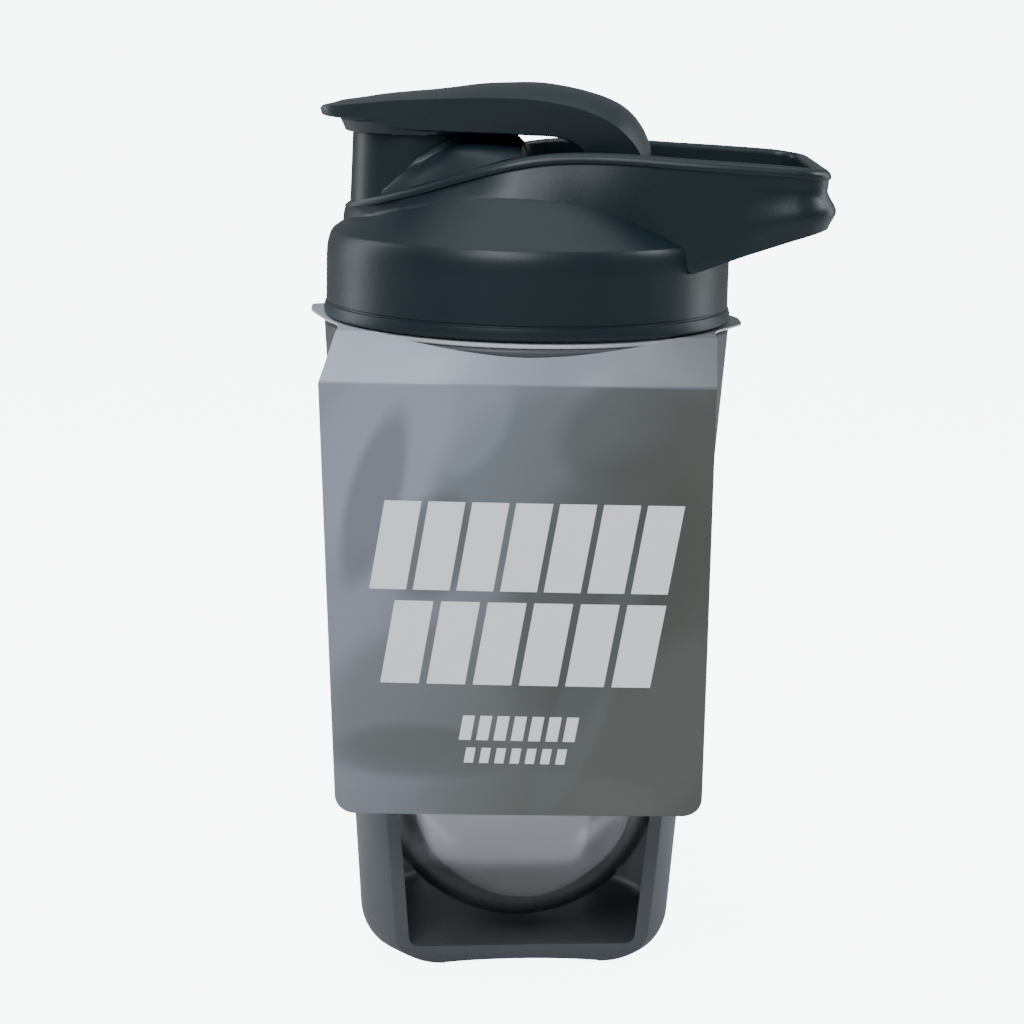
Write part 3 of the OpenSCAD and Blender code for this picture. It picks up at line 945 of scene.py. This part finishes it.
def cheekRow(y, side, s):
    # the neck ring beside the bottle, from its hole outwards
    inner = math.sqrt(max(0, s["hole"] ** 2 - y * y))
    outer = s["tip"] + curveThrough(s["cheek"], abs(y))
    curl = s["curl"][0 if side < 0 else 1] * max(0, 1 - abs(y) / 16)
    return [(side * (inner + (outer - inner) * j / 8), y, s["ringZ"] + curl * (j / 8) ** 2) for j in range(9)]


def finishCard(piece, outward, offset, s):
    # normals face the printed side, and the card gets its thickness behind it
    editAll(piece)
    bpy.ops.mesh.normals_make_consistent(inside=False)
    leaveEdit()
    if piece.data.polygons[len(piece.data.polygons) // 2].normal.dot(Vector(outward)) < 0:
        editAll(piece)
        bpy.ops.mesh.flip_normals()
        leaveEdit()
    dress(piece, cardPrint, cardWhite)
    modify(piece, "SOLIDIFY", thickness=s["thick"] * mm, offset=offset,
           material_offset=1, material_offset_rim=1)
    smooth(piece, 20)
    stands(piece, "card_sleeve", "sleeve")


def makeCard(s):
    tall = s["foldZ"] - s["low"]
    bottom = tall - s["round"]
    drops = [0.25, 0.6] + [2 + (bottom - 2) * i / 22 for i in range(23)]
    drops += [bottom + s["round"] * math.sin(math.radians(9 * i)) for i in range(1, 11)]
    for face in (1, -1):                                     # front, then back
        rows = [slopeRow(step / 12, face, s) for step in range(13)]
        rows += [panelRow(drop, face, s) for drop in drops]
        finishCard(sheetGrid("cardFront" if face > 0 else "cardBack", rows), (0, -face, 0), 1, s)
    reach = s["ringY"] + 0.4
    for side in (1, -1):                                     # the two cheeks of the neck ring
        rows = [cheekRow(-reach + 2 * reach * i / 48, side, s) for i in range(49)]
        finishCard(sheetGrid("cardCheek" + ("Right" if side > 0 else "Left"), rows), (0, 0, 1), -1, s)


makeCard(cardSizes)
print("card made")


view = {"place": (-2.4, -592, 230), "down": 12, "lens": 90.95, "sensor": 36, "roll": 1.2}
studio = {
    "backdrop": (0.93, 0.965, 1.0, 1), "seen": 14.0, "fill": 0.30, "floorGlow": 8.0, "tint": (0.93, 0.97, 1.0),
    "aim": (0, 0, 0.12),
    "lights": {                                              # place, width, height, power
        "top": ((0.0, 0.15, 1.0), 0.8, 0.5, 1.8),
        "highlight": ((0.78, 0.04, 0.74), 0.24, 0.24, 3.0),
        "crease": ((-0.22, -0.42, 1.05), 0.20, 0.08, 2.6),
        "leftPanel": ((-0.75, 0.28, 0.35), 0.30, 0.8, 2.8),
        "rightPanel": ((0.75, 0.32, 0.35), 0.30, 0.8, 2.5),
        "front": ((-0.35, -1.05, 1.15), 0.7, 0.7, 12),
    },
}


def seenByCamera(tree, seen, unseen, target):
    # one value for what the camera looks at directly, another for what lights the bottle
    path = tree.nodes.new("ShaderNodeLightPath")
    mix = tree.nodes.new("ShaderNodeMix")
    mix.inputs[2].default_value = unseen
    mix.inputs[3].default_value = seen
    tree.links.new(path.outputs["Is Camera Ray"], mix.inputs[0])
    tree.links.new(mix.outputs[0], target)


def makeStage(s):
    deselect()
    bpy.ops.mesh.primitive_plane_add(size=60, location=(0, 0, 0))
    floor = bpy.context.active_object
    floor.name = "paleFloor"
    pale = Finish("paleFloor", Roughness=0.8)
    pale.feed("Base Color", pale.blend(pale.noise(2, 2), (0.66, 0.66, 0.69, 1), (0.70, 0.70, 0.73, 1)))
    pale.shader.inputs["Emission Color"].default_value = s["backdrop"]
    seenByCamera(pale.tree, s["floorGlow"], 0, pale.shader.inputs["Emission Strength"])
    dress(floor, pale)
    world = bpy.data.worlds.new("studio")
    world.use_nodes = True
    background = world.node_tree.nodes["Background"]
    background.inputs[0].default_value = s["backdrop"]
    seenByCamera(world.node_tree, s["seen"], s["fill"], background.inputs[1])
    bpy.context.scene.world = world
    for name, (place, wide, tall, power) in s["lights"].items():
        data = bpy.data.lights.new(name, "AREA")
        data.shape = "RECTANGLE"
        data.size = wide
        data.size_y = tall
        data.energy = power
        data.color = s["tint"]
        lamp = bpy.data.objects.new(name, data)
        bpy.context.scene.collection.objects.link(lamp)
        lamp.location = place
        lamp.rotation_euler = (Vector(s["aim"]) - Vector(place)).to_track_quat("-Z", "Y").to_euler()
        lamp.visible_camera = False


def makeCamera(s):
    data = bpy.data.cameras.new("camera")
    data.lens = s["lens"]
    data.sensor_width = s["sensor"]
    data.clip_start = 0.01
    camera = bpy.data.objects.new("camera", data)
    bpy.context.scene.collection.objects.link(camera)
    pitch = Matrix.Rotation(math.radians(90 - s["down"]), 4, "X")
    turn = pitch @ Matrix.Rotation(math.radians(s["roll"]), 4, "Z")
    camera.matrix_world = Matrix.Translation(Vector(s["place"]) * mm) @ turn
    bpy.context.scene.camera = camera


makeStage(studio)
makeCamera(view)
print("stage set")
